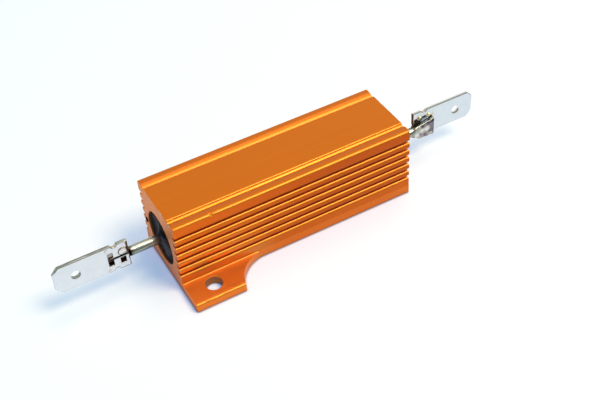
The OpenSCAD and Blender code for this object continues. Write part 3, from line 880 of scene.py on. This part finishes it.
def beadSurface(w):
    # spheres about the blade's normal, swollen by soft noise
    ball = ballGrid(w["rows"], w["cols"])[..., [1, 0, 2]]
    parts = []
    for number, (along, rise) in enumerate(w["beads"]):
        swell = 1 + w["swell"] * softNoise(ball.reshape(-1, 3), 1.2, 31 + number)
        bead = ball * swell.reshape(w["rows"], w["cols"], 1) * w["radius"]
        parts.append(ringPart(bead + tabOrigin + (along, 0, rise)))
    return parts


def skinSurface(w):
    # a flat superellipse carried along the blade, as tall as an arch that closes at both ends
    u = 0.5 - 0.5 * np.cos(np.linspace(0, np.pi, w["skinRows"]))[:, None]
    across, front = np.cos(turns(w["skinCols"])), np.sin(turns(w["skinCols"]))
    arch = (1 - np.abs(2 * u - 1) ** 6) ** 0.5
    tall = (w["skinHigh"] - w["skinLow"]) * arch / 2
    rise = w["skinLow"] + tall + tall * signedPower(across, w["skinPower"])
    thick = np.where(front > 0, w["skinDeep"], w["skinThick"])
    out = thick * arch ** 0.5 * signedPower(front, w["skinPower"])
    along = w["skinFrom"] + (w["skinTo"] - w["skinFrom"]) * u
    return ringPart(gridOf(along, out, rise) + tabOrigin)


def weldHeat(points, w):
    # dark on the skin's open side, and a painted bluish glint in its middle with darker rays
    place = points - tabOrigin
    x, out, z = place[:, 0], -place[:, 1], place[:, 2]
    fromBeads = np.min([np.linalg.norm(place - (along, 0, rise), axis=1) for along, rise in w["beads"]], 0)
    behind = out < -0.1
    skin = (fromBeads >= w["radius"] * 1.35) | behind
    (midX, midZ), (wide, tall) = w["windowAt"], w["windowSize"]
    ray = 0.5 + 0.5 * np.cos(9 * np.arctan2(z - midZ / 2, x - midX))
    blueGlint = ease(1 - np.hypot((x - midX) / wide, (z - midZ) / tall), 0, 0.35) * (0.55 + 0.45 * ray)
    darkening = np.where(skin, np.where(out > 0, 1, 0.3), 0.2 * (z < 1.5))
    return {"darkening": darkening, "blueGlint": np.where(skin & (out > 0), blueGlint, 0), "grey": np.where(behind, 1, 0)}


def weldFinish():
    material, shader, place = newMaterial("weld_metal")
    fine, grey = noiseAt(place, 3, 3), painted(place, "grey")
    colour = blend((0.70, 0.62, 0.36), (0.92, 0.88, 0.68), (fine, 0.35, 0.65))
    colour = blend(colour, (0.62, 0.64, 0.66), grey)
    colour = blend(colour, (0.022, 0.017, 0.02), painted(place, "darkening"))
    # a painted bluish glint
    colour = blend(colour, (0.42, 0.54, 0.68), painted(place, "blueGlint"))
    setShader(shader, colour=colour, metal=ramp(grey, 0, 1, 1, 0.2),
              rough=ramp(fine, 0.3, 0.7, 0.16, 0.28))
    return material


weldMetal = weldFinish()
for end, side in bothEnds:
    points, faces = joinParts(beadSurface(welds) + [skinSurface(welds)])
    mesh = meshFrom("weld_beads_" + end, atEnd(points, side), faces)
    paintPoints(mesh, weldHeat(fromEnd(mesh, side), welds))
    addPiece(mesh, weldMetal, crease=60)
print("welds done")


# what the filling hides keeps its solid and gets its own finish

def innerFinish(name, light, dark, metal, rough, scale, stretch=(1, 1, 1)):
    material, shader, place = newMaterial(name)
    grain = noiseAt(place, scale, 4, stretch)
    colour = blend(dark, light, (grain, 0.3, 0.7))
    setShader(shader, colour=colour, metal=metal, normal=bumpFrom(grain, 0.02),
              rough=ramp(grain, 0.3, 0.7, rough - 0.06, rough + 0.06))
    return material


capSteel = innerFinish("cap_steel", (0.62, 0.63, 0.64), (0.45, 0.46, 0.47), 1.0, 0.35, 3, (0.1, 1, 1))
innerLooks = {
    "core": innerFinish("core_ceramic", (0.82, 0.78, 0.69), (0.72, 0.67, 0.57), 0.0, 0.6, 2.5),
    "winding": innerFinish("resistance_wire", (0.42, 0.40, 0.38), (0.27, 0.26, 0.25), 1.0, 0.38, 4),
    "end_cap_left": capSteel,
    "end_cap_right": capSteel,
}
for node, material in innerLooks.items():
    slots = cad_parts[node].data.materials
    slots.clear()
    slots.append(material)
print("inner pieces done")


# stage: camera, floor, light

view = {
    "azimuth": -26.944, "elevation": 43.327, "roll": -3.973,
    "distance": 213.528,  # millimetres from the origin
    "slide": (3.811, 3.061),  # sideways and up in the picture
    "lens": 64.712, "sensor": 36, "clipStart": 0.01,
}
studio = {
    # the floor is warm white with a bluish lift, so that it comes out white and its shadows blue
    "floor": (0.97, 0.82, 0.54), "floorLift": (0.12, 0.29, 0.54), "floorSize": 6,
    # touch is the colour of the painted contact shadow under the object
    "touch": (0.17, 0.115, 0.09), "touchWidth": 0.6, "farFrom": 0.12, "farTo": 0.5,
    # lamps: direction, distance, width, power; the key in front, a wider and weaker one overhead
    "lamps": {"key": ((0.335, -0.37, 0.87), 1.2, 0.56, 8.3), "top": ((0.33, 0.15, 0.93), 1.2, 0.75, 3.1)},
    "lampColour": (1, 0.93, 0.80), "fill": (0.58, 0.75, 1.0), "fillStrength": 0.4,
    "white": 0.97, "frontDark": 0.2,
}


def placeCamera(v):
    # back points from the object to the camera, level lies across the picture before the roll
    azimuth, elevation, roll = np.radians([v["azimuth"], v["elevation"], v["roll"]])
    flat = np.cos(elevation)
    back = np.array([np.sin(azimuth) * flat, -np.cos(azimuth) * flat, np.sin(elevation)])
    level = np.cross((0, 0, 1), back)
    level /= np.linalg.norm(level)
    rise = np.cross(back, level)
    right = np.cos(roll) * level + np.sin(roll) * rise
    up = np.cos(roll) * rise - np.sin(roll) * level
    eye = back * v["distance"] + right * v["slide"][0] + up * v["slide"][1]
    matrix = np.eye(4)
    matrix[:3, :3] = np.stack([right, up, back], 1)
    matrix[:3, 3] = eye * mm
    camera = addObject("camera", bpy.data.cameras.new("camera"))
    camera.data.lens, camera.data.sensor_width = v["lens"], v["sensor"]
    camera.data.clip_start = v["clipStart"]
    camera.matrix_world = Matrix(matrix.tolist())
    bpy.context.scene.camera = camera


def seenRay(near):
    # 1 for rays from the camera, straight or by way of metal or glass
    path = addNode(near, "LightPath").outputs
    seen = maths("MAXIMUM", path["Is Camera Ray"], path["Is Glossy Ray"])
    return maths("MAXIMUM", seen, path["Is Transmission Ray"])


def layFloor(s):
    size, black, white = s["floorSize"] / 2, (0, 0, 0), (s["white"],) * 3
    mesh = bpy.data.meshes.new("floor")
    corners = [(-size, -size, 0), (size, -size, 0), (size, size, 0), (-size, size, 0)]
    mesh.from_pydata(corners, [], [(0, 1, 2, 3)])
    floor = addObject("floor", mesh)
    material, shader, place = newMaterial("pale_floor")
    paper = noiseAt(place, 0.02, 2)
    # a painted contact shadow: a narrow dark line where the object touches it
    clearSky = addNode(place, "AmbientOcclusion", {"Distance": s["touchWidth"] * mm}, samples=8).outputs["AO"]
    touch = ramp(clearSky, 0.45, 0.9, 0.7, 0)
    # far from the lamps it goes over to the white of the background
    seen = seenRay(place)
    away = addNode(place, "VectorMath", {0: place.outputs["Object"]}, operation="LENGTH").outputs["Value"]
    far = mask((away, s["farFrom"], s["farTo"]), seen)
    colour = blend(blend(s["floor"], s["touch"], touch), black, far)
    lift = blend(blend(s["floorLift"], black, touch), white, far)
    setShader(shader, colour=colour, rough=ramp(paper, 0.3, 0.7, 0.85, 0.95), gloss=0.0,
              glow=lift, glowStrength=seen)
    mesh.materials.append(material)


def lightStudio(s):
    for name, (direction, away, size, power) in s["lamps"].items():
        light = bpy.data.lights.new(name, "AREA")
        light.shape, light.size, light.energy, light.color = "DISK", size, power, s["lampColour"]
        lamp = addObject(name, light)
        aim = Vector(direction).normalized()
        lamp.location = aim * away
        lamp.rotation_euler = aim.to_track_quat("Z", "Y").to_euler()
    world = bpy.data.worlds.new("studio")
    bpy.context.scene.world = world
    world.use_nodes = True
    tree = world.node_tree
    fill = tree.nodes["Background"]
    feed(fill.inputs[0], s["fill"])
    feed(fill.inputs[1], s["fillStrength"])
    # reflections show the white too, with a darker band low in front, where the photographer stands
    _, ahead, up = axesOf(addNode(tree, "TexCoord").outputs["Generated"])
    band = mask((up, 0.5, 0.25, 0, 1, "SMOOTHSTEP"), (ahead, 0.1, -0.5, 0, 1, "SMOOTHSTEP"),
                addNode(tree, "LightPath").outputs["Is Glossy Ray"])
    white = addNode(tree, "Background", {0: (1, 1, 1), 1: ramp(band, 0, 1, s["white"], s["frontDark"])})
    mix = addNode(tree, "MixShader", {0: seenRay(tree), 1: fill.outputs[0], 2: white.outputs[0]})
    tree.links.new(mix.outputs[0], tree.nodes["World Output"].inputs[0])


placeCamera(view)
layFloor(studio)
lightStudio(studio)
bpy.context.scene.view_settings.view_transform = "Standard"
print("stage done")
